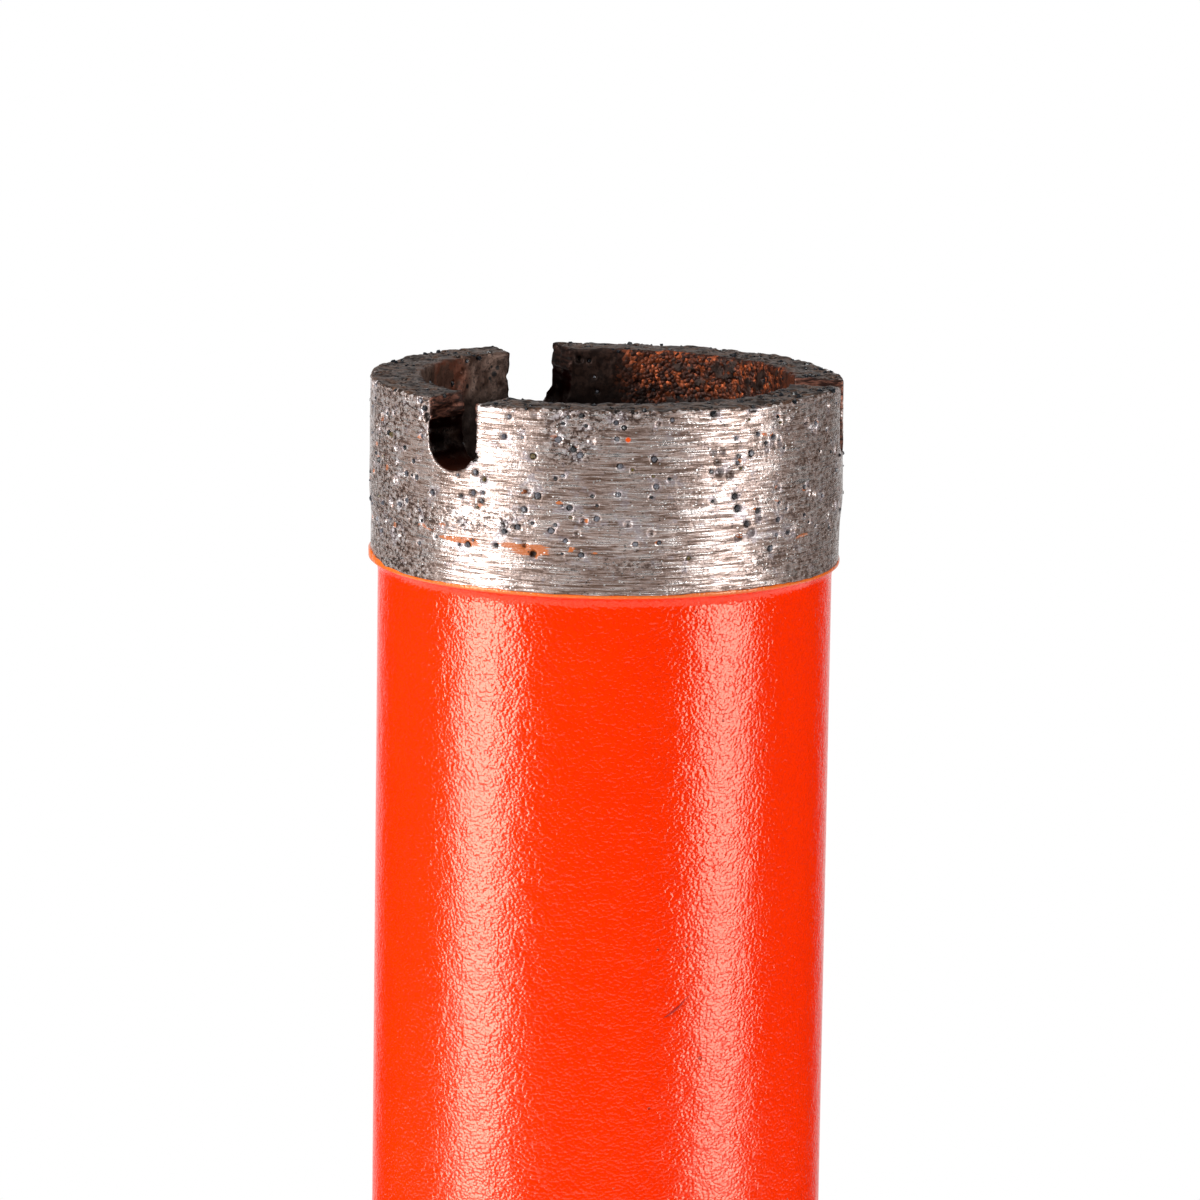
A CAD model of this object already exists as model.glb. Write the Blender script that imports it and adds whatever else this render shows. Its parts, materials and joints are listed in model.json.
"""The looks of the diamond core bit: worn sintered crown, powder-coated barrel and threaded hub.

Sizes are in millimetres until a mesh is made, which turns them into metres. Every piece stands in the
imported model's own frame: +Z along the bit, and the origin at the centre of the hub's seat face.
"""

import json
import math
from itertools import product
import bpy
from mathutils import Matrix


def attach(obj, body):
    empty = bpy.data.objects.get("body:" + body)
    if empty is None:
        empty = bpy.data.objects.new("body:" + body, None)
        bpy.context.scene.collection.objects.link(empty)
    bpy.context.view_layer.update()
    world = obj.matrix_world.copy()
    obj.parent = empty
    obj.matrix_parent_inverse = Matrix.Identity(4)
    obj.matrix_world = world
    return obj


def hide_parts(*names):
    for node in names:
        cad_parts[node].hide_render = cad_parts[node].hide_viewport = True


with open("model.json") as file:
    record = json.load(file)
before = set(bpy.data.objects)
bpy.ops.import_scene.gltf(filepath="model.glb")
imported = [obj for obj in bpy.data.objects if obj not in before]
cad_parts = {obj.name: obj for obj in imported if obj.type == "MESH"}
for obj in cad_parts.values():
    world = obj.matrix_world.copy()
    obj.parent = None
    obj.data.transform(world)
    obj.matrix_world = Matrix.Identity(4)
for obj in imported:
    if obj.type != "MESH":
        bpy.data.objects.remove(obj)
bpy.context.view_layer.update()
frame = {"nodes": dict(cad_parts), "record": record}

from types import SimpleNamespace

import bmesh
import bpy
import numpy as np
from mathutils import Quaternion, Vector
from mathutils.kdtree import KDTree

MM = 0.001
FULL_TURN = 2 * math.pi


# ---- sizes

def node_sizes(node):
    """(lowest z, highest z, smallest radius, largest radius) of a CAD node, in millimetres."""
    points = np.array([v.co for v in frame["nodes"][node].data.vertices]) / MM
    radii = np.hypot(points[:, 0], points[:, 1])
    return points[:, 2].min(), points[:, 2].max(), radii.min(), radii.max()


CROWN_BASE, CROWN_TOP, CROWN_BORE, CROWN_RADIUS = node_sizes("crown")
BARREL_BASE, BARREL_TOP, BARREL_BORE, BARREL_RADIUS = node_sizes("barrel")
HUB_BASE, HUB_TOP, PASSAGE_RADIUS, HEX_CIRCUMRADIUS = node_sizes("hub")

# The crown's waterways, each a little uneven: angles from +X, and with them half widths.
RIGHT_WATERWAY = 3.6
BACK_WATERWAY = 121.3
FRONT_WATERWAY = 239.1
WATERWAYS = ((RIGHT_WATERWAY, 1.3), (BACK_WATERWAY, 1.95), (FRONT_WATERWAY, 1.68))
WATERWAY_FLOOR = CROWN_TOP - 4.2

# The height of the plain base, what use has worn off the cutting face, and where that leaves it.
DIAMOND_FREE_BASE = 2.1
FACE_WEAR = 0.2
WORN_FACE = CROWN_TOP - FACE_WEAR

# The camera, found from the crown's and the barrel's outlines.
CAMERA_AZIMUTH = 9.0
CAMERA_ELEVATION = 10.2
CAMERA_ROLL = 0.85
CAMERA_DISTANCE = 400.0
CAMERA_LENS = 202.2
AIM_HEIGHT = 158.35
AIM_SIDE = -0.25


# ---- noise and meshes

CELL_PRIMES = np.array([73856093, 19349663, 83492791], np.int64)
SEED_PRIME = 2654435761
STIR_PRIME = 1274126177
HASH_LIMIT = 0x7FFFFFFF


def random_at(cells, seed):
    """A repeatable random number from -1 to 1 for each integer cell."""
    mixed = (cells * CELL_PRIMES).sum(-1) + seed * SEED_PRIME
    for shift in (13, 17, 5):
        mixed = (mixed ^ (mixed >> shift)) * STIR_PRIME & HASH_LIMIT
    return mixed / (HASH_LIMIT // 2) - 1


def noise(points, size, seed):
    """Smooth noise from -1 to 1 at these points, with features of about this size."""
    scaled = points / size
    cells = np.floor(scaled).astype(np.int64)
    blend = scaled - cells
    blend = blend * blend * (3 - 2 * blend)
    total = np.zeros(len(points))
    for corner in product((0, 1), repeat=3):
        share = np.prod(np.where(corner, blend, 1 - blend), -1)
        total += share * random_at(cells + corner, seed)
    return total


def smooth_step(value, low, high):
    """0 below low, 1 above high, and smooth in between."""
    share = np.clip((value - low) / (high - low), 0, 1)
    return share * share * (3 - 2 * share)


def rounded_max(a, b, radius):
    """The larger of two distances, with the edge where they meet rounded to this radius."""
    near = np.hypot(np.maximum(a + radius, 0), np.maximum(b + radius, 0)) - radius
    return np.where((a > -radius) & (b > -radius), near, np.maximum(a, b))


def polar(radius, angle, z):
    """Points in x, y and z from a radius, an angle in radians and a height."""
    return np.stack(np.broadcast_arrays(radius * np.cos(angle), radius * np.sin(angle), z), -1)


def in_scene(name, data):
    """A new object with this data, in the scene."""
    item = bpy.data.objects.new(name, data)
    bpy.context.scene.collection.objects.link(item)
    return item


def new_object(name, points, faces):
    """A smooth mesh object in metres, from points in millimetres, with its faces turned outwards."""
    faces = np.asarray(faces)
    corners = points[faces]
    fan = sum(np.cross(corners[:, i], corners[:, i + 1]) for i in range(1, faces.shape[1] - 1))
    if (corners[:, 0] * fan).sum() < 0:
        faces = faces[:, ::-1]
    mesh = bpy.data.meshes.new(name)
    mesh.from_pydata((points * MM).tolist(), [], faces.tolist())
    mesh.shade_smooth()
    return in_scene(name, mesh)


def cell_vertices(field):
    """A vertex, in grid steps, in each cell that a field's zero surface crosses, and the cells' numbers.

    The field's first axis wraps round.
    """
    steps, height, depth = field.shape
    cells = (steps, height - 1, depth - 1)
    corners = {
        (a, b, c): np.roll(field, -a, 0)[:, b:height - 1 + b, c:depth - 1 + c]
        for a, b, c in product((0, 1), repeat=3)
    }
    total, count = np.zeros(cells + (3,)), np.zeros(cells)
    for axis in range(3):
        for others in product((0, 1), repeat=2):
            start = others[:axis] + (0,) + others[axis:]
            end = others[:axis] + (1,) + others[axis:]
            low, high = corners[start], corners[end]
            crossed = (low < 0) != (high < 0)
            place = np.zeros(cells + (3,)) + start
            place[..., axis] = low / np.where(crossed, low - high, 1)
            total += np.where(crossed[..., None], place, 0)
            count += crossed
    active = count > 0
    numbers = np.cumsum(active).reshape(cells) - 1
    return np.argwhere(active) + total[active] / count[active][:, None], numbers


def crossing_quads(field, numbers):
    """A quad of vertex numbers round each grid edge that the zero surface crosses."""
    quads = []
    for axis in range(3):
        if axis == 0:
            here, following = field, np.roll(field, -1, 0)
        else:
            last = field.shape[axis] - 1
            here, following = field.take(range(last), axis), field.take(range(1, last + 1), axis)
        places = np.argwhere((here < 0) != (following < 0))
        across = [i for i in range(3) if i != axis]
        for i in across:
            if i:
                places = places[(places[:, i] > 0) & (places[:, i] < field.shape[i] - 1)]
        ring = []
        for shift in ((0, 0), (-1, 0), (-1, -1), (0, -1)):
            cell = places.copy()
            for i, step in zip(across, shift):
                cell[:, i] += step
            ring.append(numbers[cell[:, 0] % len(field), cell[:, 1], cell[:, 2]])
        quad = np.stack(ring, -1)
        outward = here[tuple(places.T)] < 0
        flip = outward if axis != 1 else ~outward
        quads.append(np.where(flip[:, None], quad, quad[:, ::-1]))
    return np.vstack(quads)


def decimated(piece, triangles):
    """The same object with its flattest triangles joined, down to this many."""
    present = sum(len(face.vertices) - 2 for face in piece.data.polygons)
    modifier = piece.modifiers.new("fewer", "DECIMATE")
    modifier.ratio = min(1.0, triangles / present)
    graph = bpy.context.evaluated_depsgraph_get()
    dense = piece.data
    piece.data = bpy.data.meshes.new_from_object(piece.evaluated_get(graph))
    piece.modifiers.clear()
    bpy.data.meshes.remove(dense)
    piece.data.name = piece.name
    return piece


def ring_quads(rings, columns, total):
    """Quads from each ring of vertices to the next, of a total that wraps round."""
    here = np.arange(columns)
    after = (here + 1) % columns
    pairs = [(ring * columns, (ring + 1) % total * columns) for ring in range(rings)]
    return np.vstack([np.stack([a + here, a + after, b + after, b + here], -1) for a, b in pairs])


def lathe(name, rows, columns):
    """A closed ring of quads through rows of (radius, z), each a number or one number a column."""
    angle = np.arange(columns) * FULL_TURN / columns
    points = [polar(radius, angle, z) for radius, z in rows]
    return new_object(name, np.vstack(points), ring_quads(len(rows), columns, len(rows)))


def triples(items, name):
    """The (x, y, z) values of this name of a mesh's vertices or faces."""
    values = np.zeros(len(items) * 3, np.float32)
    items.foreach_get(name, values)
    return values.reshape(-1, 3)


def store(piece, name, values):
    """Keeps one number for each of the piece's vertices, for its material to read."""
    attribute = piece.data.attributes.new(name, "FLOAT", "POINT")
    attribute.data.foreach_set("value", np.asarray(values, np.float32))


# ---- crown

# The crown's side stands back in its plain base and at its face: how far, and over what height.
BASE_SETBACK = 0.14
BASE_BAND = (2.2, 4.2)
FACE_SETBACK = 0.06
FACE_BAND = 4.0

# Below this depth the waterways are a little wider and nearly black.
SLOT_STEP = 1.5
SLOT_RECESS = 0.09

# Bumps on the crown: (height, size, seed), and a sideways scale where they are drawn out.
SIDE_BUMPS = ((0.05, 3.5, 1), (0.02, 0.9, 9))
BORE_BUMPS = ((0.07, 0.45, 2), (0.07, 1.3, 3))
FACE_BUMPS = ((0.06, 0.35, 4), (0.07, 1.0, 5), (0.04, 3.0, 6))
SLOT_BUMPS = ((0.05, 0.4, 7), (0.05, 1.1, 8), (0.1, 0.26, 10, 0.2))

# How far the crown's edges are rounded.
FACE_EDGE = 0.16
BORE_EDGE = 0.1
SLOT_EDGE = 0.06


def worn_radius(z):
    """The crown's outer radius by height."""
    base, top = BASE_BAND
    plain = BASE_SETBACK * (1 - smooth_step(z, CROWN_BASE + base, CROWN_BASE + top))
    return CROWN_RADIUS - plain - FACE_SETBACK * smooth_step(z, CROWN_TOP - FACE_BAND, CROWN_TOP)


def bumpy(distance, bumps, relief):
    """A distance from a surface, with these bumps added to it."""
    for height, *kind in bumps:
        distance = distance + height * relief(*kind)
    return distance


def crown_distance(radius, angle, z, relief):
    """Distance from the crown's surface, below zero inside it. relief(size, seed) is its noise."""
    outer = bumpy(radius - worn_radius(z), SIDE_BUMPS, relief)
    inner = bumpy(CROWN_BORE - radius, BORE_BUMPS, relief)
    top = bumpy(z - CROWN_TOP + FACE_WEAR, FACE_BUMPS, relief)
    wall = rounded_max(outer, top, FACE_EDGE)
    wall = rounded_max(wall, rounded_max(inner, CROWN_BASE - z, BORE_EDGE), BORE_EDGE)

    rough = bumpy(0, SLOT_BUMPS, relief)
    rough = rough + SLOT_RECESS * smooth_step(CROWN_TOP - z, SLOT_STEP - 0.05, SLOT_STEP + 0.08)
    for degrees, half_width in WATERWAYS:
        turned = angle - math.radians(degrees)
        slot = slot_distance(radius, turned, z, half_width)
        cut = np.where(np.cos(turned) > 0, -slot + rough, -CROWN_RADIUS)
        wall = rounded_max(wall, cut, SLOT_EDGE)
    return wall


def slot_distance(radius, turned, z, half_width):
    """Distance from a waterway's wall, below zero in the slot. The angle is from the slot's middle."""
    below = np.minimum(z - (WATERWAY_FLOOR + half_width), 0)
    return np.hypot(radius * np.sin(turned), below) - half_width


# The crystals' radii, the share that is left, and how much wider filled and empty pits are.
GRIT_RADII = (0.09, 0.2)
CRYSTALS_LEFT = 0.7
FILLED_PIT_MARGIN = 0.03
EMPTY_PIT_MARGIN = 0.06
TRIES_PER_GRIT = 8


def scattered(count, spacing, seed, place):
    """Random rows of (x, y, z, size, 1 where a crystal is left), no two within this spacing."""
    rng = np.random.default_rng(seed)
    kept = []
    for _ in range(count * TRIES_PER_GRIT):
        point = place(rng)
        if point is not None and all(math.dist(point, other) > spacing for other in kept):
            kept.append(point)
        if len(kept) == count:
            break
    sizes = rng.uniform(*GRIT_RADII, len(kept))
    crystals = rng.random(len(kept)) < CRYSTALS_LEFT
    return np.column_stack([kept, sizes, crystals])


WATERWAY_MARGIN = 0.1


def clear_place(reach, radius, angle, z):
    """This place on the crown, or None where a place this far out is in a waterway or next to one."""
    for degrees, half_width in WATERWAYS:
        turned = angle - math.radians(degrees)
        near = abs(reach * math.sin(turned)) < half_width + WATERWAY_MARGIN
        if near and math.cos(turned) > 0 and z > WATERWAY_FLOOR - WATERWAY_MARGIN:
            return None
    return polar(radius, angle, z)


def on_side(rng):
    """A random place on the crown's ground outer side, above its plain base."""
    angle = rng.uniform(0, FULL_TURN)
    z = rng.uniform(CROWN_BASE + DIAMOND_FREE_BASE, WORN_FACE - 0.05)
    return clear_place(CROWN_RADIUS, worn_radius(z), angle, z)


def on_rim(rng):
    """A random place on the cutting face."""
    angle = rng.uniform(0, FULL_TURN)
    radius = math.sqrt(rng.uniform((CROWN_BORE + 0.2) ** 2, (CROWN_RADIUS - 0.15) ** 2))
    return clear_place(radius, radius, angle, WORN_FACE)


def on_bore(rng):
    """A random place on the crown's inner wall."""
    angle = rng.uniform(0, FULL_TURN)
    z = rng.uniform(CROWN_BASE + DIAMOND_FREE_BASE, CROWN_TOP - 0.3)
    return clear_place(CROWN_BORE, CROWN_BORE, angle, z)


# Rows of crystals: how many, how far apart, their seed and the surface that they lie in.
SIDE_GRITS = scattered(450, 0.36, 11, on_side)
RIM_GRITS = scattered(230, 0.36, 12, on_rim)
BORE_GRITS = scattered(190, 0.4, 13, on_bore)

# Larger nicks in the crown's outer edges: (angle from +X, height, radius).
NICKS = (
    (281.3, 171.75, 0.22), (285.5, 171.75, 0.2), (316.0, 171.7, 0.28),
    (248.3, 171.85, 0.16), (251.5, 171.85, 0.16), (230.8, 170.6, 0.26),
    (246.0, 168.7, 0.26),
)


# The grid that the crown is carved on: columns round the axis, step, and margins round the solid.
GRID_COLUMNS = 800
GRID_STEP = 0.11
BORE_MARGIN, SIDE_MARGIN = 0.45, 0.3
BASE_MARGIN, FACE_MARGIN = 0.3, 0.4

# How near to the surface there is noise, how far a pit reaches, and the finished ring's triangles.
NOISE_REACH = 0.5
PIT_REACH = 0.55
CROWN_TRIANGLES = 195_000


def on_worn_side(degrees, z):
    """The place on the crown's side at an angle from +X and a height."""
    return polar(worn_radius(z), math.radians(degrees), z)


def crown_pits():
    """Rows of (x, y, z, radius) for the pits that grits sit in or have left, and for the nicks."""
    pits = []
    for x, y, z, size, present in (*SIDE_GRITS, *RIM_GRITS, *BORE_GRITS):
        pits.append((x, y, z, size + (FILLED_PIT_MARGIN if present else EMPTY_PIT_MARGIN)))
    return pits + [(*on_worn_side(degrees, z), size) for degrees, z, size in NICKS]


def make_crown():
    """The sintered ring, worn and pitted, as one closed mesh."""
    radii = np.arange(CROWN_BORE - BORE_MARGIN, CROWN_RADIUS + SIDE_MARGIN, GRID_STEP)
    heights = np.arange(CROWN_BASE - BASE_MARGIN, CROWN_TOP + FACE_MARGIN, GRID_STEP)
    angles = np.arange(GRID_COLUMNS) * FULL_TURN / GRID_COLUMNS
    angle, z, radius = np.meshgrid(angles, heights, radii, indexing="ij")
    field = crown_distance(radius, angle, z, lambda *_: 0)
    near = abs(field) < NOISE_REACH
    points = polar(radius[near], angle[near], z[near])
    field[near] = crown_distance(
        radius[near], angle[near], z[near],
        lambda size, seed, sideways=1: noise(points * (sideways, sideways, 1), size, seed),
    )

    for *centre, size in crown_pits():
        out = math.hypot(*centre[:2])
        column = round(math.atan2(centre[1], centre[0]) % FULL_TURN / FULL_TURN * GRID_COLUMNS)
        wide = int(PIT_REACH / (out * FULL_TURN / GRID_COLUMNS)) + 1
        block = np.ix_(
            np.arange(column - wide, column + wide + 1) % GRID_COLUMNS,
            np.flatnonzero(abs(heights - centre[2]) < PIT_REACH),
            np.flatnonzero(abs(radii - out) < PIT_REACH),
        )
        away = np.linalg.norm(polar(radius[block], angle[block], z[block]) - centre, axis=-1)
        field[block] = np.maximum(field[block], size - away)

    vertices, numbers = cell_vertices(field)
    turned = vertices[:, 0] * FULL_TURN / GRID_COLUMNS
    shape = polar(radii[0] + vertices[:, 2] * GRID_STEP, turned, heights[0] + vertices[:, 1] * GRID_STEP)
    return decimated(new_object("crown_ring", shape, crossing_quads(field, numbers)), CROWN_TRIANGLES)


def crystal():
    """Corners and triangles of a cuboctahedron of radius 1."""
    corners = [p for p in product((-1, 0, 1), repeat=3) if sum(abs(x) for x in p) == 2]
    work = bmesh.new()
    for corner in corners:
        work.verts.new(Vector(corner) / math.sqrt(2))
    bmesh.ops.convex_hull(work, input=work.verts)
    bmesh.ops.triangulate(work, faces=work.faces)
    work.verts.index_update()
    shape = np.array([v.co for v in work.verts])
    triangles = np.array([[v.index for v in face.verts] for face in work.faces])
    work.free()
    return shape, triangles


# A crystal's corners vary by this share of its radius, and it is sunk by a share of that.
CORNER_SHARES = (0.75, 1.2)
SUNK_IN_WALL = (0.1, 0.8)
SUNK_IN_FACE = (0.2, 0.85)


def make_grits():
    """The diamond crystals that are left in the crown's surface, sunk to about its level."""
    corners, triangles = crystal()
    rng = np.random.default_rng(31)
    points, faces = [], []
    for grits, outward in ((SIDE_GRITS, 1), (RIM_GRITS, 0), (BORE_GRITS, -1)):
        for x, y, z, size, present in grits:
            if not present:
                continue
            spin = Quaternion(rng.normal(size=4).tolist()).normalized().to_matrix()
            shape = corners * rng.uniform(*CORNER_SHARES, corners.shape) * size
            normal = Vector((x, y, 0)).normalized() * outward if outward else Vector((0, 0, 1))
            sunk = rng.uniform(*(SUNK_IN_WALL if outward else SUNK_IN_FACE))
            centre = Vector((x, y, z)) - normal * size * sunk
            faces.append(triangles + len(points) * len(corners))
            points.append(shape @ np.array(spin).T + centre)
    piece = new_object("crown_grits", np.vstack(points), np.vstack(faces))
    piece.data.shade_flat()
    return piece


# ---- barrel

WELD_GROOVE = 0.4
SOFT_EDGE = 0.06
PAINT = 0.04

# Where the coat is drawn up under the crown, and the run of it that laps further over the crown's edge.
FLARE_HEIGHT = 1.15
FLARE_POWER = 4
RUN_ANGLE = 192
RUN_WIDTH = 13
RUN_LAP = 0.42
RUN_THICKNESS = 0.12
LAP = 0.14
LEAST_LAP = 0.08

# A fibre in the coat, from (angle from +X, height) to the same.
FIBRE_START = (295.6, 136.1)
FIBRE_END = (302.3, 137.4)
FIBRE_BOW = 0.12
FIBRE_RADIUS = 0.08

# Pits in the coat: (angle from +X, height, radius).
COAT_PITS = (
    (243.3, 160.25, 0.2), (255.3, 160.2, 0.16), (246.8, 154.5, 0.16),
    (251.2, 154.3, 0.15), (249.05, 151.4, 0.16), (305.3, 133.5, 0.17),
)


def make_barrel():
    """The coated tube, with its coat drawn up under the crown and lapping over its edge."""
    columns = 512
    angle = np.arange(columns) * FULL_TURN / columns
    rim = worn_radius(CROWN_BASE)
    circle = polar(rim, angle, 0)
    run = np.exp(-((np.degrees(angle) - RUN_ANGLE) / RUN_WIDTH) ** 2)
    lap = LAP + 0.1 * noise(circle, 3.0, 41) + 0.05 * noise(circle, 0.7, 42)
    lap = np.maximum(lap, LEAST_LAP) + RUN_LAP * run
    coat = PAINT + 0.015 * noise(circle, 1.2, 43) + RUN_THICKNESS * run
    rows = [
        (BARREL_BORE, BARREL_BASE),
        (BARREL_RADIUS - WELD_GROOVE, BARREL_BASE),
        (BARREL_RADIUS - SOFT_EDGE, BARREL_BASE + WELD_GROOVE - SOFT_EDGE),
        (BARREL_RADIUS, BARREL_BASE + WELD_GROOVE + 0.04),
    ]
    flare_base = BARREL_TOP - FLARE_HEIGHT
    rows += [(BARREL_RADIUS, z) for z in np.linspace(BARREL_BASE + 1, flare_base, 60)]
    for share in np.linspace(0.1, 1, 14):
        spread = (rim + coat - PAINT - BARREL_RADIUS) * share ** FLARE_POWER
        rows.append((BARREL_RADIUS + spread, flare_base + (FLARE_HEIGHT - 0.08) * share))
    rows += [
        (rim + coat, BARREL_TOP + 0.02),
        (rim + coat, BARREL_TOP + lap - 0.04),
        (rim + coat * 0.4, BARREL_TOP + lap),
        (rim - SOFT_EDGE, BARREL_TOP + lap - 0.02),
        (rim - 0.2, BARREL_TOP + 0.02),
        (BARREL_RADIUS, BARREL_TOP),
        (BARREL_BORE, BARREL_TOP),
    ]
    rows += [(BARREL_BORE, z) for z in np.linspace(BARREL_TOP - 1, BARREL_BASE + 1, 12)]
    return lathe("barrel_tube", rows, columns)


def make_fibre():
    """A fibre caught in the wet coat: a fine bowed thread, thick at one end and half sunk."""
    steps, sides = 24, 8
    share = np.linspace(0, 1, steps)
    turn = np.radians(FIBRE_START[0] + (FIBRE_END[0] - FIBRE_START[0]) * share)
    z = FIBRE_START[1] + (FIBRE_END[1] - FIBRE_START[1]) * share - FIBRE_BOW * np.sin(math.pi * share)
    thickness = FIBRE_RADIUS * np.sin(math.pi * np.clip(share * 0.86 + 0.1, 0, 1)) * (1.25 - 0.75 * share)
    points = []
    for side in range(sides):
        swing = side * FULL_TURN / sides
        points.append(polar(
            BARREL_RADIUS + thickness * (math.sin(swing) + 0.2), turn, z + thickness * math.cos(swing)
        ))
    return new_object("coat_fibre", np.stack(points, 1).reshape(-1, 3), ring_quads(steps - 1, sides, steps))


# ---- hub

# The G 1/2 thread: its size, its lead-in, the depths over which its turns run out, and its profile.
THREAD_MAJOR = 20.955
THREAD_PITCH = 25.4 / 14
LEAD_IN = 0.3
THREAD_RUNOUT = (0.8, 2.4)
CREST_SHARE = 0.18
SLOPE_SHARE = 0.64

# The hexagon, whose half angle is its chamfers' slope as well, and the web behind the socket.
HEX_HALF = math.radians(30)
HEX_CHAMFER = 0.4
CORNER_TRIM = 0.12
CHAMFER_EDGE = 0.15
SOCKET_WEB = 2

# The collar's foot, the spigot that fits in the barrel, and the water passage's edges.
COLLAR_FOOT = 0.12
SPIGOT_CLEARANCE = 0.05
SPIGOT_CHAMFER = 0.6
PASSAGE_CHAMFER = 0.2


def thread_radius(angle, z, minor, depth):
    """The wall of a right-hand internal thread, with its crests at the minor radius."""
    turn = (z / THREAD_PITCH - angle / FULL_TURN) % 1
    flank = np.clip((abs(turn - 0.5) * 2 - CREST_SHARE) / SLOPE_SHARE, 0, 1)
    return minor + depth * flank


def socket_rows(angle, minor, socket_depth):
    """The threaded wall's rows, from the socket's floor to its mouth."""
    depth = THREAD_MAJOR / 2 - minor
    mouth = minor + depth + LEAD_IN
    rows = [(minor, socket_depth)]
    for z in np.arange(socket_depth - 0.1, HUB_BASE, -0.15):
        full = smooth_step(socket_depth - z, *THREAD_RUNOUT)
        rows.append((np.maximum(thread_radius(angle, z, minor, depth * full), mouth - z), z))
    return rows + [(mouth, HUB_BASE)]


def hexagon_rows(angle, top):
    """The spanner hexagon's rows, with its corners turned off at both ends."""
    inradius = HEX_CIRCUMRADIUS * math.cos(HEX_HALF)
    face = inradius - HEX_CHAMFER
    sixth = (angle + HEX_HALF) % (2 * HEX_HALF) - HEX_HALF
    hexagon = np.minimum(inradius / np.cos(sixth), HEX_CIRCUMRADIUS - CORNER_TRIM)
    drop = (hexagon - face) * math.tan(HEX_HALF)
    edge = hexagon - CHAMFER_EDGE
    rows = [(face, HUB_BASE), (edge, HUB_BASE + drop - SOFT_EDGE), (hexagon, HUB_BASE + drop + CHAMFER_EDGE)]
    rows += [(hexagon, HUB_BASE + drop + (top - 2 * drop) * share) for share in np.linspace(0.1, 0.9, 12)]
    return rows + [(hexagon, top - drop - CHAMFER_EDGE), (edge, top - drop + SOFT_EDGE), (face, top)]


def make_hub():
    """The hexagon, the collar, the spigot and the threaded socket."""
    columns = 360
    angle = np.arange(columns) * FULL_TURN / columns
    mount = next(m for m in frame["record"]["mounts"] if m["name"] == "spindle_thread")
    socket_depth = mount["pos_m"][2] / MM + mount["dims"]["length_mm"] / 2
    hex_top = socket_depth + SOCKET_WEB
    spigot = BARREL_BORE - SPIGOT_CLEARANCE
    rows = hexagon_rows(angle, hex_top)
    rows += [
        (BARREL_RADIUS + COLLAR_FOOT, hex_top),
        (BARREL_RADIUS, hex_top + 0.14),
        (BARREL_RADIUS, BARREL_BASE - WELD_GROOVE - 0.05),
        (BARREL_RADIUS - SOFT_EDGE, BARREL_BASE - WELD_GROOVE + SOFT_EDGE),
        (BARREL_RADIUS - WELD_GROOVE, BARREL_BASE),
        (spigot, BARREL_BASE),
        (spigot, HUB_TOP - SPIGOT_CHAMFER),
        (spigot - SPIGOT_CHAMFER, HUB_TOP),
        (PASSAGE_RADIUS + PASSAGE_CHAMFER, HUB_TOP),
        (PASSAGE_RADIUS, HUB_TOP - PASSAGE_CHAMFER),
        (PASSAGE_RADIUS, socket_depth + PASSAGE_CHAMFER),
        (PASSAGE_RADIUS + PASSAGE_CHAMFER, socket_depth),
    ]
    return lathe("hub_body", rows + socket_rows(angle, mount["dims"]["r_mm"], socket_depth), columns)


# ---- material tools

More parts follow.
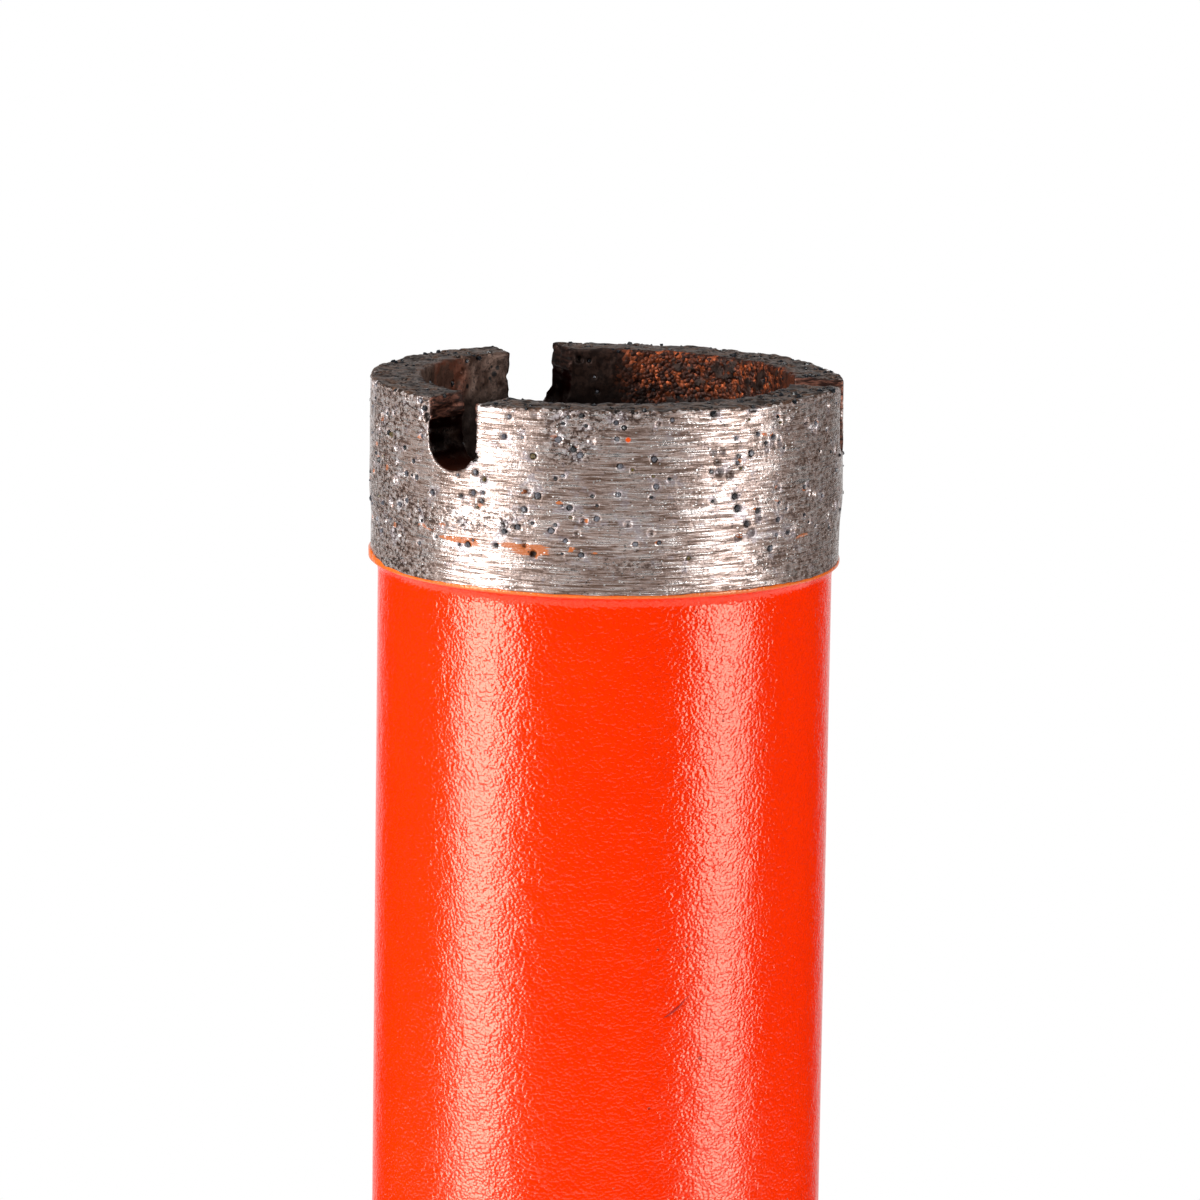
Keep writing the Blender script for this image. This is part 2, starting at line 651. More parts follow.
class Graph:
    """A material's node tree, with short ways to add nodes to it."""

    def __init__(self, name, tree=None):
        if tree is None:
            self.material = bpy.data.materials.new(name)
            self.material.use_nodes = True
            tree = self.material.node_tree
        self.tree = tree
        self.tree.nodes.clear()

    def add(self, kind, inputs=None, **settings):
        """A new node. Each input is a value, or the output of another node."""
        node = self.tree.nodes.new("ShaderNode" + kind)
        for name, value in settings.items():
            setattr(node, name, value)
        for name, value in (inputs or {}).items():
            if isinstance(value, bpy.types.NodeSocket):
                self.tree.links.new(value, node.inputs[name])
            else:
                node.inputs[name].default_value = value
        return node

    def math(self, operation, a, b=0.0):
        """One sum or comparison of two numbers."""
        return self.add("Math", {0: a, 1: b}, operation=operation).outputs[0]

    def times(self, first, *others):
        """The product of two or more numbers."""
        for other in others:
            first = self.math("MULTIPLY", first, other)
        return first

    def without(self, share):
        """What a share leaves of 1."""
        return self.math("SUBTRACT", 1.0, share)

    def step(self, value, low, high, out_low=0.0, out_high=1.0):
        """A smooth step of a value between two limits."""
        inputs = {"Value": value, "From Min": low, "From Max": high, "To Min": out_low, "To Max": out_high}
        return self.add("MapRange", inputs, interpolation_type="SMOOTHSTEP").outputs[0]

    def mix(self, factor, a, b):
        """A colour between a and b, each an output or (red, green, blue)."""
        a, b = ((*colour, 1) if isinstance(colour, tuple) else colour for colour in (a, b))
        return self.add("Mix", {0: factor, 6: a, 7: b}, data_type="RGBA").outputs[2]

    def layers(self, colour, *layers):
        """A colour with others laid over it in turn, each as (share, colour)."""
        for share, over in layers:
            colour = self.mix(share, colour, over)
        return colour

    def blend(self, factor, a, b):
        """A number between a and b."""
        return self.add("Mix", {0: factor, 2: a, 3: b}, data_type="FLOAT").outputs[0]

    def vector(self, operation, a, b=(0, 0, 0), output="Vector"):
        """One operation on two vectors."""
        return self.add("VectorMath", {0: a, 1: b}, operation=operation).outputs[output]

    def place(self, scale=(1, 1, 1)):
        """The point in millimetres, scaled along each axis."""
        at = self.add("TexCoord").outputs["Object"]
        return self.vector("MULTIPLY", at, [s / MM for s in scale])

    def noise(self, scale, stretch=(1, 1, 1), detail=2.0, roughness=0.5, distortion=0.0):
        """Smooth noise from 0 to 1, with this many features a millimetre."""
        inputs = {"Vector": self.place(stretch), "Scale": scale, "Detail": detail}
        inputs |= {"Roughness": roughness, "Distortion": distortion}
        return self.add("TexNoise", inputs).outputs["Fac"]

    def cells(self, scale, stretch=(1, 1, 1)):
        """Voronoi cells: the distance from a cell's middle, and that cell's three random numbers."""
        inputs = {"Vector": self.place(stretch), "Scale": scale, "Randomness": 1.0}
        outputs = self.add("TexVoronoi", inputs).outputs
        return outputs["Distance"], self.add("SeparateColor", {0: outputs["Color"]}).outputs

    def along(self, vector, direction):
        """How far a vector reaches in this direction."""
        return self.vector("DOT_PRODUCT", vector, direction, "Value")

    def toward(self, degrees):
        """The cosine between a place's direction from the axis and this angle from +X."""
        outward = self.vector("NORMALIZE", self.place((1, 1, 0)))
        return self.along(outward, polar(1, math.radians(degrees), 0).tolist())

    def spots(self, places, radius):
        """1 in round spots on a radius, from rows of (angle from +X, height, size)."""
        total = 0.0
        for degrees, z, size in places:
            centre = polar(radius, math.radians(degrees), z).tolist()
            away = self.vector("DISTANCE", self.place(), centre, "Value")
            total = self.math("MAXIMUM", total, self.step(away, size, size * 0.5))
        return total

    def attribute(self, name):
        """A number that was stored for each vertex."""
        return self.add("Attribute", attribute_name=name).outputs["Fac"]

    def radius_and_height(self):
        """The distance from the bit's axis and the height, both in millimetres."""
        x, y, z = self.add("SeparateXYZ", {0: self.place()}).outputs
        square = self.math("ADD", self.math("POWER", x, 2), self.math("POWER", y, 2))
        return self.math("SQRT", square), z

    def bump(self, height, distance, normal=None):
        """A normal tilted by a relief, of which 1 is this distance in millimetres."""
        inputs = {"Height": height, "Distance": distance * MM, "Strength": 1.0}
        if normal is not None:
            inputs["Normal"] = normal
        return self.add("Bump", inputs).outputs[0]

    def finish(self, inputs):
        """The surface shader, which ends the tree."""
        shader = self.add("BsdfPrincipled", inputs)
        self.add("OutputMaterial", {"Surface": shader.outputs[0]})
        return self.material


# ---- materials

# Colours are in linear red, green and blue. These are the coat's, the fibre's and the steel's.
COAT_SHADES = (0.95, 0.024, 0.0), (0.95, 0.031, 0.0)
COAT_THIN = (0.74, 0.15, 0.02)
COAT_VALLEY = (0.7, 0.012, 0.0)
COAT_PINHOLE = (0.4, 0.01, 0.0)
COAT_GLEAM = (1.0, 0.94, 0.74, 1)
FIBRE_SHADES = (0.28, 0.008, 0.003), (0.5, 0.016, 0.004)
STEEL_SHADES = (0.32, 0.3, 0.28), (0.5, 0.48, 0.46)
STEEL_STAIN = (0.24, 0.16, 0.12)


def coat_material():
    """Glossy orange powder coat with orange peel, yellower where it laps thin on the crown."""
    g = Graph("orange_powder_coat")
    valley, _ = g.cells(4.7, (1, 1, 1.25))
    peel = g.math("SUBTRACT", g.noise(3.2, detail=1.0, distortion=0.5), g.math("POWER", valley, 2))
    swell = g.times(g.noise(0.75, detail=1.0), 2.6)
    from_middle, chances = g.cells(0.55)
    pinhole = g.times(g.step(from_middle, 0.06, 0.035), g.step(chances[0], 0.72, 0.73))
    pinhole = g.math("MAXIMUM", pinhole, g.spots(COAT_PITS, BARREL_RADIUS))
    relief = g.math("SUBTRACT", g.math("ADD", peel, swell), pinhole)
    _, height = g.radius_and_height()
    colour = g.layers(
        g.mix(g.noise(0.25), *COAT_SHADES),
        (g.step(height, BARREL_TOP - 0.16, BARREL_TOP - 0.02), COAT_THIN),
        (g.step(valley, 0.5, 0.65, 0.0, 0.2), COAT_VALLEY),
        (g.times(pinhole, 0.9), COAT_PINHOLE),
    )
    return g.finish({
        "Base Color": colour,
        "Roughness": g.step(valley, 0.5, 0.66, 0.11, 0.17),
        "IOR": 1.6,
        "Specular Tint": COAT_GLEAM,
        "Normal": g.bump(relief, 0.023),
    })


def fibre_material():
    """The fibre's skin of dark red coat."""
    g = Graph("coated_fibre")
    shade = g.noise(4.0)
    roughness = g.step(shade, 0.3, 0.7, 0.4, 0.55)
    return g.finish({"Base Color": g.mix(shade, *FIBRE_SHADES), "Roughness": roughness})


def steel_material():
    """Bare turned steel, dull and a little brown."""
    g = Graph("bare_steel")
    turned = g.noise(1.0, (0.3, 0.3, 6.0), detail=3.0)
    stain = g.noise(0.35, detail=3.0)
    return g.finish({
        "Base Color": g.mix(g.step(stain, 0.5, 0.75), g.mix(turned, *STEEL_SHADES), STEEL_STAIN),
        "Metallic": 1.0,
        "Roughness": g.step(stain, 0.3, 0.7, 0.35, 0.6),
        "Normal": g.bump(turned, 0.01),
    })


# Bright specks of coat on the crown's side: (angle from +X, height, radius).
COAT_SPECKS = ((284.0, 170.15, 0.2), (319.2, 170.1, 0.09), (331.5, 171.0, 0.08))

# Rusty places and dark pits in the bore's wall: (angle from +X, height, radius).
BORE_RUST = ((159.0, 170.7, 2.6), (20.0, 171.0, 1.8))
BORE_PITS = (
    (136.0, 170.9, 0.2), (137.4, 170.55, 0.24), (138.9, 170.3, 0.16),
    (138.2, 171.0, 0.15), (149.0, 170.0, 0.2),
)

# Where the bore has coppery grains, and where plain grey film: (angle from +X, half width).
COPPER_STRETCH = (60, 34)
PLAIN_STRETCH = (165, 34)

# The crown's colours: its ground side, its pits and specks, its face, its bore and its waterways.
STREAK_DARK = (0.13, 0.077, 0.057)
STREAK_MIDDLE = (0.41, 0.3, 0.265)
STREAK_LIGHT = (0.72, 0.63, 0.6)
GREY_FILM = (0.35, 0.31, 0.35)
SCRATCH_LIGHT = (0.9, 0.87, 0.87)
SCRATCH_DARK = (0.07, 0.03, 0.018)
CRUMB_DARK = (0.07, 0.038, 0.03)
MOTTLE_DARK = (0.045, 0.024, 0.018)
MOTTLE_LIGHT = (0.8, 0.74, 0.74)
OLD_COAT = (0.44, 0.125, 0.036)

PIT_DARK = (0.02, 0.013, 0.011)
SPARKLE = (0.95, 0.93, 0.92)
SPECK_ORANGE = (0.95, 0.1, 0.0)

FACE_SHADES = (0.014, 0.008, 0.006), (0.28, 0.215, 0.19)
FACE_BROWN = (0.19, 0.095, 0.058)
FACE_RUST = (0.17, 0.09, 0.055)
FACE_CLOUD = (0.022, 0.014, 0.012)

BORE_SHADES = (0.022, 0.009, 0.006), (0.06, 0.03, 0.022)
FILM_SHADES = (0.1, 0.052, 0.036), (0.23, 0.145, 0.112)
COPPER_SHADES = (0.045, 0.011, 0.006), (0.7, 0.15, 0.042)
BORE_GRAIN = (0.018, 0.008, 0.006)
RUST_RED = (0.2, 0.05, 0.02)
PIT_BLACK = (0.008, 0.005, 0.005)

BURNT_SHADES = (0.035, 0.01, 0.006), (0.3, 0.12, 0.08)
BURNT_BACK = (0.012, 0.006, 0.005)
SOOT_SHADES = (0.02, 0.002, 0.0015), (0.075, 0.018, 0.009)
SLURRY = (0.01, 0.004, 0.003)


def stretch(g, middle, half_width):
    """1 within half a width of an angle from +X, and 0 elsewhere."""
    limit = math.cos(math.radians(half_width))
    return g.step(g.toward(middle), limit - 0.06, limit + 0.08)


def crown_patterns(g):
    """The patterns that the crown's surfaces share, most of them from 0 to 1."""
    p = SimpleNamespace()
    p.radius, p.height = g.radius_and_height()
    p.slot, p.mottle = g.attribute("slot"), g.attribute("mottle")
    p.grain = g.noise(5.5, roughness=0.6)
    p.coarse = g.noise(2.6)
    p.rust = g.noise(0.7, detail=3.0, roughness=0.6)
    p.cloud = g.noise(1.3, (1, 1, 1.3), detail=4.0, roughness=0.7)
    p.crumb = g.noise(3.0, (1, 1, 1.4), detail=4.0, roughness=0.78)
    p.scratch = g.noise(1.0, (0.6, 0.6, 15.0), roughness=0.6)
    streak = g.noise(1.0, (0.5, 0.5, 6.4), detail=4.0, roughness=0.7, distortion=0.25)
    p.streak = g.blend(g.times(p.mottle, 0.7), streak, p.crumb)
    area = g.noise(0.55, (1, 1, 1.8), detail=3.0, roughness=0.6)
    p.level = g.math("ADD", g.blend(0.32, p.streak, p.scratch), g.step(area, 0.36, 0.64, -0.035, 0.03))
    p.grit = g.math("ADD", g.attribute("grit"), g.step(p.crumb, 0.3, 0.7, -0.35, 0.35))

    ragged = g.step(p.coarse, 0.35, 0.65, 0.0, 0.18)
    side = g.step(g.math("SUBTRACT", p.radius, ragged), CROWN_RADIUS - 0.44, CROWN_RADIUS - 0.34)
    below_face = g.step(g.math("ADD", p.height, ragged), WORN_FACE + 0.06, WORN_FACE - 0.02)
    p.ground = g.times(side, below_face, g.without(p.slot))
    p.bore = g.step(p.radius, CROWN_BORE + 0.5, CROWN_BORE + 0.1)
    soot = g.step(p.height, CROWN_TOP - SLOT_STEP + 0.06, CROWN_TOP - SLOT_STEP - 0.06)
    p.soot = g.times(soot, g.step(g.toward(RIGHT_WATERWAY), 0.95, 0.9))

    near_grit = g.step(g.math("ADD", p.grit, g.step(area, 0.3, 0.7, 1.6, -1.6)), 4.5, 1.2, 0.0, 0.12)
    p.film = g.step(g.math("ADD", p.cloud, near_grit), 0.56, 0.7)
    from_middle, chances = g.cells(6.0, (1, 1, 1.4))
    inside = g.step(from_middle, 0.45, 0.25)
    p.sparkle = g.times(inside, g.step(chances[0], g.blend(p.mottle, 0.84, 0.72), 0.95))
    p.speck = g.times(inside, g.step(chances[1], g.blend(p.mottle, 0.88, 0.7), 0.95))
    p.bright = g.times(g.step(p.scratch, 0.57, 0.67), g.step(p.level, 0.44, 0.54, 0.1, 0.8))
    patch = g.math("ADD", g.attribute("residue"), g.times(g.math("SUBTRACT", p.streak, 0.5), 1.7))
    p.residue = g.step(patch, 1.05, 0.95)
    p.knob, chances = g.cells(4.4)
    p.lit = g.math("POWER", chances[0], 3)
    p.coppery = g.times(stretch(g, *COPPER_STRETCH), g.step(p.rust, 0.4, 0.5))
    return p


def ground_colour(g, p):
    """The side: streaks, with grey film, scratches, crumbs, mottling and old coat."""
    return g.layers(
        g.mix(g.step(p.level, 0.41, 0.5), STREAK_DARK, STREAK_MIDDLE),
        (g.step(p.level, 0.5, 0.6), STREAK_LIGHT),
        (g.times(p.film, g.step(p.level, 0.4, 0.5, 0.3, 0.65)), GREY_FILM),
        (p.bright, SCRATCH_LIGHT),
        (g.times(g.step(p.scratch, 0.4, 0.3), 0.5), SCRATCH_DARK),
        (g.step(p.crumb, 0.44, 0.3, 0.0, 0.6), CRUMB_DARK),
        (g.times(p.mottle, g.step(p.crumb, 0.49, 0.44, 0.0, 0.9)), MOTTLE_DARK),
        (g.times(p.mottle, g.step(p.crumb, 0.55, 0.62, 0.0, 0.8)), MOTTLE_LIGHT),
        (g.times(p.residue, g.blend(p.mottle, 1.0, 0.55)), OLD_COAT),
    )


def bore_colour(g, p):
    """The bore's wall: dark, with grey film, coppery grains, rust and pits."""
    return g.layers(
        g.mix(g.step(p.coarse, 0.4, 0.6), *BORE_SHADES),
        (stretch(g, *PLAIN_STRETCH), g.mix(g.step(p.rust, 0.38, 0.6), *FILM_SHADES)),
        (p.coppery, g.mix(p.lit, *COPPER_SHADES)),
        (g.step(p.grain, 0.52, 0.66, 0.0, 0.7), BORE_GRAIN),
        (g.times(g.spots(BORE_RUST, CROWN_BORE), g.step(p.rust, 0.42, 0.56, 0.15, 0.8)), RUST_RED),
        (g.spots(BORE_PITS, CROWN_BORE), PIT_BLACK),
    )


def waterway_colour(g, p):
    """A waterway's walls: burnt brown in lines, sooty lower down, and redder on its floor."""
    drawn = g.noise(1.3, (0.8, 0.8, 3.6), detail=3.0, roughness=0.6, distortion=0.5)
    return g.layers(
        g.mix(g.step(drawn, 0.42, 0.62), *BURNT_SHADES),
        (g.step(g.toward(BACK_WATERWAY), 0.9, 0.97, 0.0, 0.8), BURNT_BACK),
        (p.soot, g.mix(g.step(p.height, WATERWAY_FLOOR + 0.75, WATERWAY_FLOOR + 0.35), *SOOT_SHADES)),
    )


def raw_colour(g, p):
    """The surfaces that are not ground: the grainy face, the bore and the waterways."""
    slurry = g.step(p.height, CROWN_TOP - 1.6, CROWN_TOP - 3.6)
    return g.layers(
        g.mix(g.step(p.grain, 0.42, 0.6), *FACE_SHADES),
        (g.step(p.coarse, 0.47, 0.62, 0.0, 0.75), FACE_BROWN),
        (g.step(p.rust, 0.47, 0.6, 0.0, 0.55), FACE_RUST),
        (g.step(p.cloud, 0.53, 0.42, 0.0, 0.75), FACE_CLOUD),
        (p.bore, bore_colour(g, p)),
        (p.slot, waterway_colour(g, p)),
        (g.times(slurry, 0.8, g.without(g.times(p.slot, 0.6))), SLURRY),
    )


def crown_material():
    """Sintered metal, ground to streaks on its side, and dark and grainy elsewhere."""
    g = Graph("sintered_metal")
    p = crown_patterns(g)
    dark = g.math("MAXIMUM", g.step(p.grit, 1.15, 0.95), g.times(p.speck, 0.85))
    dot = g.spots(COAT_SPECKS, CROWN_RADIUS)
    colour = g.layers(
        raw_colour(g, p),
        (p.ground, ground_colour(g, p)),
        (dark, PIT_DARK),
        (g.times(p.sparkle, p.ground), SPARKLE),
        (dot, SPECK_ORANGE),
    )

    shine = g.blend(g.math("MAXIMUM", p.bright, p.sparkle), g.step(p.level, 0.4, 0.6, 0.35, 0.65), 1.0)
    shine = g.blend(g.times(p.film, 0.7), shine, 0.4)
    shine = g.times(shine, g.without(p.residue), g.step(p.grit, 1.1, 2.2, 0.25, 1.0))
    shine = g.times(shine, g.step(p.height, WORN_FACE + 0.02, WORN_FACE - 0.3, 0.4, 1.0))
    clear = g.times(p.ground, g.without(g.math("MAXIMUM", dark, dot)))
    dull = g.times(p.slot, p.soot)

    relief = g.math("ADD", g.times(p.streak, 0.5), g.times(p.scratch, 0.5))
    normal = g.bump(g.times(relief, p.ground), 0.06)
    normal = g.bump(p.grain, 0.025, normal)
    return g.finish({
        "Base Color": colour,
        "Metallic": g.blend(clear, g.blend(dull, 0.5, 1.0), shine),
        "Roughness": g.blend(clear, g.blend(dull, 0.5, 0.9), g.step(p.level, 0.35, 0.6, 0.32, 0.19)),
        "Normal": g.bump(g.times(p.knob, p.bore, p.coppery), -0.1, normal),
    })


# The crystals' colours: most of them, the olive ones, their pale clouds, and those on the face.
GRIT_SHADES = (0.012, 0.013, 0.016), (0.13, 0.13, 0.155)
GRIT_OLIVE = (0.11, 0.075, 0.02)
GRIT_CLOUD = (0.35, 0.35, 0.38)
GRIT_ON_FACE = (0.014, 0.016, 0.021)


def grit_material():
    """Diamond crystals: blue-grey, dark or olive, and nearly black on the cutting face."""
    g = Graph("diamond_grit")
    _, height = g.radius_and_height()
    island = g.add("NewGeometry").outputs["Random Per Island"]
    cloud = g.noise(8.0)
    colour = g.layers(
        g.mix(g.step(island, 0.1, 0.85), *GRIT_SHADES),
        (g.step(island, 0.88, 0.9), GRIT_OLIVE),
        (g.step(cloud, 0.5, 0.75, 0.0, 0.25), GRIT_CLOUD),
        (g.step(height, CROWN_TOP - 0.45, CROWN_TOP - 0.35), GRIT_ON_FACE),
    )
    return g.finish({"Base Color": colour, "Roughness": g.step(cloud, 0.3, 0.7, 0.16, 0.4), "IOR": 1.55})


# ---- pieces

# Old coat left in the crown's low spots: (angle from +X, height, half length, half height).
RESIDUES = (
    (242.2, 163.74, 1.6, 0.19), (245.6, 163.55, 0.5, 0.12), (260.6, 163.6, 1.25, 0.34),
    (256.6, 163.8, 0.9, 0.14), (231.2, 164.2, 0.9, 0.16), (216.9, 163.8, 0.35, 0.2),
    (213.7, 167.0, 0.5, 0.2), (270.7, 163.7, 0.4, 0.13), (275.9, 163.6, 0.35, 0.1),
    (319.2, 170.1, 0.14, 0.12), (335.0, 163.7, 0.9, 0.1),
)

# Where the crown's side is mottled more than streaked: (angle from +X, half width, strength).
MOTTLED_STRETCHES = ((211, 24, 1.0), (345, 28, 0.6))


GRIT_REACH = 8.0
RESIDUE_REACH = 3.0
RESIDUE_SHARE = 0.13
FULL_MOTTLE = 0.45


def turned_from(turns, middle):
    """Angles in degrees from a middle one, from -180 to 180."""
    return (turns - middle + 180) % 360 - 180


def grit_share(points):
    """How far each point is from its nearest grit or nick, as a share of that one's radius."""
    nicks = [(*on_worn_side(degrees, z), size, 0) for degrees, z, size in NICKS]
    grits = np.vstack([SIDE_GRITS, RIM_GRITS, BORE_GRITS, nicks])
    tree = KDTree(len(grits))
    for number, grit in enumerate(grits):
        tree.insert(grit[:3], number)
    tree.balance()
    closest = [tree.find(point) for point in points]
    return [min(away / grits[number, 3], GRIT_REACH) for _, number, away in closest]


def slot_share(points, radius, turns):
    """1 on a waterway's walls and 0 on the rest of the crown."""
    walls = np.full(len(points), -1.0)
    for degrees, half_width in WATERWAYS:
        turned = np.radians(turns - degrees)
        slot = slot_distance(radius, turned, points[:, 2], half_width)
        walls = np.maximum(walls, np.where(np.cos(turned) > 0, -slot, -1))
    return smooth_step(walls, -0.19, -0.08)


def mottle_share(points, turns):
    """How far the crown is mottled: in its two stretches, and in patches elsewhere."""
    mottle = smooth_step(noise(points * (0.5, 0.5, 1), 2.2, 62) - 0.32, 0.0, FULL_MOTTLE)
    for middle, half_width, strength in MOTTLED_STRETCHES:
        inside = 1 - abs(turned_from(turns, middle)) / half_width + 0.5 * noise(points, 1.6, 61)
        mottle = np.maximum(mottle, strength * smooth_step(inside, 0.0, FULL_MOTTLE))
    return mottle


def residue_share(points, turns):
    """How far each point is from a patch of old coat, as a share of the patch's size."""
    rng = np.random.default_rng(52)
    patches = list(RESIDUES)
    for x, y, z, *_ in SIDE_GRITS[rng.random(len(SIDE_GRITS)) < RESIDUE_SHARE]:
        turn = math.degrees(math.atan2(y, x)) + rng.uniform(-1.2, 1.2)
        patches.append((turn, z + rng.uniform(-0.2, 0.2), 0.2, 0.12))
    share = np.full(len(points), RESIDUE_REACH)
    for angle, z, half_length, half_height in patches:
        along = np.radians(turned_from(turns, angle)) * CROWN_RADIUS
        share = np.minimum(share, np.hypot(along / half_length, (points[:, 2] - z) / half_height))
    return share


def mark_crown(piece):
    """Stores where the crown's grits, waterways, mottling and old coat are."""
    points = triples(piece.data.vertices, "co").astype(float) / MM
    radius, turns = np.hypot(points[:, 0], points[:, 1]), np.degrees(np.arctan2(points[:, 1], points[:, 0]))
    store(piece, "grit", grit_share(points))
    store(piece, "slot", slot_share(points, radius, turns))
    store(piece, "mottle", mottle_share(points, turns))
    store(piece, "residue", residue_share(points, turns))


def dress(piece, body, slot, *materials):
    """Gives a piece its materials, its body and the record's slot."""
    for material in materials:
        piece.data.materials.append(material)
    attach(piece, body)
    return piece


def use_second_material(piece, chosen):
    """The faces that chosen(centres, normals) picks take the piece's second material."""
    faces = piece.data.polygons
    second = chosen(triples(faces, "center") / MM, triples(faces, "normal"))
    faces.foreach_set("material_index", second.astype(np.int32))


DOWNWARD = -0.98


def make_pieces():
    """The five visual pieces, each on the bit's one body."""
    coat, steel = coat_material(), steel_material()
    crown = dress(make_crown(), "root", "sintered_metal", crown_material())
    mark_crown(crown)
    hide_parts("crown")
    dress(make_grits(), "root", "sintered_metal", grit_material())

    barrel = dress(make_barrel(), "root", "orange_coat", coat, steel)
    use_second_material(barrel, lambda at, normal: np.hypot(at[:, 0], at[:, 1]) < BARREL_BORE + 0.2)
    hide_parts("barrel")
    dress(make_fibre(), "root", "orange_coat", fibre_material())

    hub = dress(make_hub(), "root", "orange_coat", coat, steel)
    use_second_material(
        hub,
        lambda at, normal: (np.hypot(at[:, 0], at[:, 1]) < BARREL_BORE) | (normal[:, 2] < DOWNWARD),
    )
    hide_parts("hub")


# ---- stage, light and camera

FLOOR_RADIUS = 330.0
FLOOR_FADE = 200.0
FLOOR_GREY = (0.76, 0.76, 0.76, 1)
WHITE = (1, 1, 1, 1)

# Softboxes on the floor: (name, azimuth, height, rim, middle, colour). The rim and the brighter middle are
# each (half angle, radiance).
SOFTBOX_DISTANCE = 400.0
SOFTBOX_DEPTH = 6.0
SOFTBOXES = (
    ("key", -62.0, 400.0, (17.5, 1.1), (13.0, 8.4), (1.0, 1.0, 0.98)),
    ("side", 63.3, 330.0, (16.0, 1.0), (12.0, 6.0), (1.0, 0.99, 0.97)),
)

# The lamps above and before the bit: size, distance or height, and radiance.
TOP_SIZE, TOP_HEIGHT, TOP_RADIANCE = (400, 400), 600, 1.0
FRONT_SIZE, FRONT_DISTANCE, FRONT_RADIANCE = (320, 240), 520, 0.55
FRONT_ELEVATION = 50
FRONT_AIM = 150


def view_from(azimuth, elevation):
    """The direction of a place, its azimuth from the camera's side to the right."""
    turn, rise = math.radians(CAMERA_AZIMUTH + azimuth), math.radians(elevation)
    return Vector((math.sin(turn) * math.cos(rise), -math.cos(turn) * math.cos(rise), math.sin(rise)))


def make_floor():
    """A pale round floor that takes the shadow and fades to white at its rim."""
    mesh = bpy.data.meshes.new("floor")
    columns = 96
    turns = np.arange(columns) * FULL_TURN / columns
    rim = polar(FLOOR_RADIUS, turns, 0) * MM
    mesh.from_pydata(rim.tolist(), [], [list(range(columns))])
    floor = in_scene("floor", mesh)
    g = Graph("pale_floor")
    radius, _ = g.radius_and_height()
    far = g.step(radius, FLOOR_FADE, FLOOR_RADIUS * 0.97)
    paper = g.add("BsdfDiffuse", {"Color": FLOOR_GREY}).outputs[0]
    white = g.add("Emission", {"Color": WHITE, "Strength": 1.0}).outputs[0]
    seen = g.times(far, g.add("LightPath").outputs["Is Camera Ray"])
    shown = g.add("MixShader", {0: seen, 1: paper, 2: white}).outputs[0]
    g.add("OutputMaterial", {"Surface": shown})
    floor.data.materials.append(g.material)


def make_world():
    """White to the camera, and to the bit a studio that is bright behind it, dimmer at its left and dark in
    front. It isn't sampled as a lamp, which keeps its soft fill out of the reflections.
    """
    world = bpy.data.worlds.new("studio")
    bpy.context.scene.world = world
    world.use_nodes = True
    world.cycles.sampling_method = "NONE"
    g = Graph("studio", world.node_tree)
    direction = g.add("TexCoord").outputs["Generated"]
    behind, left = g.along(direction, -view_from(0, 0)), g.along(direction, -view_from(90, 0))
    levels = (
        g.math("ADD", g.step(behind, 0.0, 0.8, 0.1, 0.95), g.step(left, 0.3, 0.9, 0.0, 0.65)),
        g.step(behind, 0.84, 0.98, 0.0, 0.8),
        1.0,
    )
    fill, glossy, white = [
        g.add("Background", {"Color": WHITE, "Strength": level}).outputs[0] for level in levels
    ]
    rays = g.add("LightPath").outputs
    clear = g.math("MAXIMUM", rays["Is Camera Ray"], rays["Is Transmission Ray"])
    seen = g.add("MixShader", {0: rays["Is Glossy Ray"], 1: fill, 2: glossy}).outputs[0]
    seen = g.add("MixShader", {0: clear, 1: seen, 2: white}).outputs[0]
    g.add("OutputWorld", {"Surface": seen})


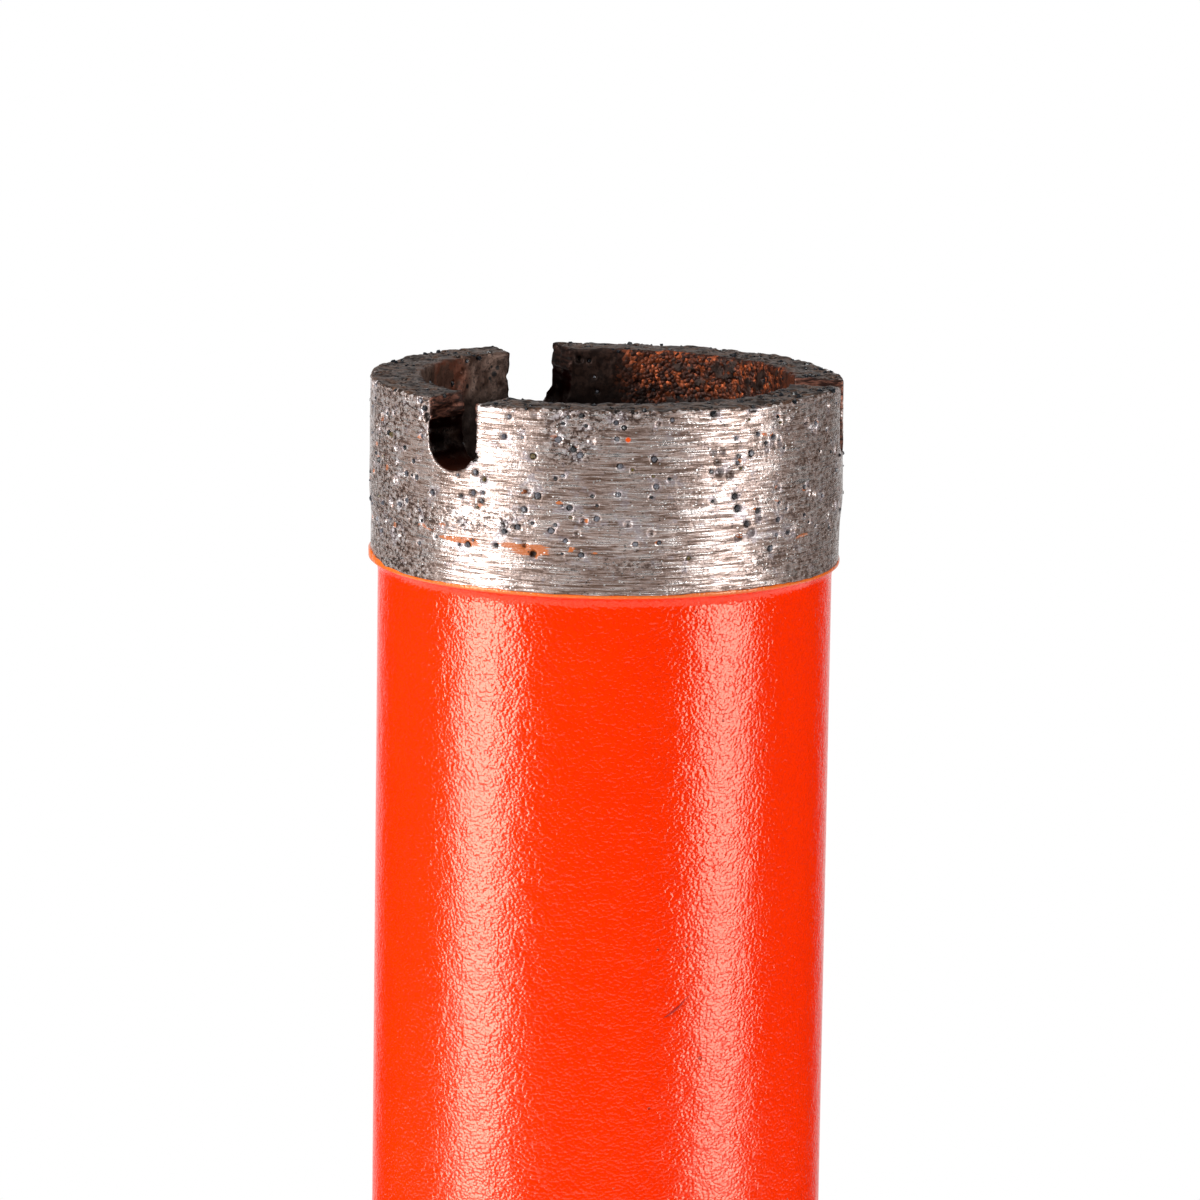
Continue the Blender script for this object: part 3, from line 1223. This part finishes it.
def make_lamp(name, place, size, radiance, aim_height, colour=(1, 1, 1)):
    """A soft rectangular lamp at a place, turned towards this height on the bit's axis."""
    light = bpy.data.lights.new(name, "AREA")
    light.shape = "RECTANGLE"
    light.size, light.size_y = size[0] * MM, size[1] * MM
    light.energy = radiance * math.pi * light.size * light.size_y
    light.color = colour
    lamp = in_scene(name, light)
    lamp.location = place * MM
    lamp.rotation_mode = "QUATERNION"
    lamp.rotation_quaternion = (Vector((0, 0, aim_height)) - place).to_track_quat("-Z", "Y")
    lamp.visible_camera = False


def make_softbox(name, azimuth, height, rim, middle, colour):
    """A softbox on the floor, its brighter middle in front of its rim."""
    outward = view_from(azimuth, 0)
    parts = (("rim", rim, SOFTBOX_DISTANCE), ("middle", middle, SOFTBOX_DISTANCE - SOFTBOX_DEPTH))
    for part, (half_angle, radiance), distance in parts:
        width = 2 * distance * math.tan(math.radians(half_angle))
        place = outward * distance + Vector((0, 0, height / 2))
        make_lamp(f"{name}_{part}", place, (width, height), radiance, height / 2, colour)


def make_lights():
    """The two softboxes, the lamp above and the lamp before the bit."""
    for softbox in SOFTBOXES:
        make_softbox(*softbox)
    make_lamp("top_softbox", Vector((0, 0, TOP_HEIGHT)), TOP_SIZE, TOP_RADIANCE, 0)
    front = view_from(0, FRONT_ELEVATION) * FRONT_DISTANCE + Vector((0, 0, FRONT_AIM))
    make_lamp("front_softbox", front, FRONT_SIZE, FRONT_RADIANCE, FRONT_AIM)


def make_camera():
    """The camera at the photographed angle, near the crown."""
    back = view_from(0, CAMERA_ELEVATION)
    right = view_from(90, 0)
    data = bpy.data.cameras.new("camera")
    data.sensor_width = 36
    data.lens = CAMERA_LENS
    data.clip_start, data.clip_end = 0.01, 10
    camera = in_scene("camera", data)
    aim = Vector((0, 0, AIM_HEIGHT * MM)) + right * AIM_SIDE * MM
    camera.location = aim + back * CAMERA_DISTANCE * MM
    camera.rotation_mode = "QUATERNION"
    roll = Quaternion((0, 0, 1), math.radians(CAMERA_ROLL))
    camera.rotation_quaternion = (-back).to_track_quat("-Z", "Y") @ roll
    bpy.context.scene.camera = camera


make_camera()
make_pieces()
make_floor()
make_world()
make_lights()
bpy.context.scene.view_settings.view_transform = "Standard"
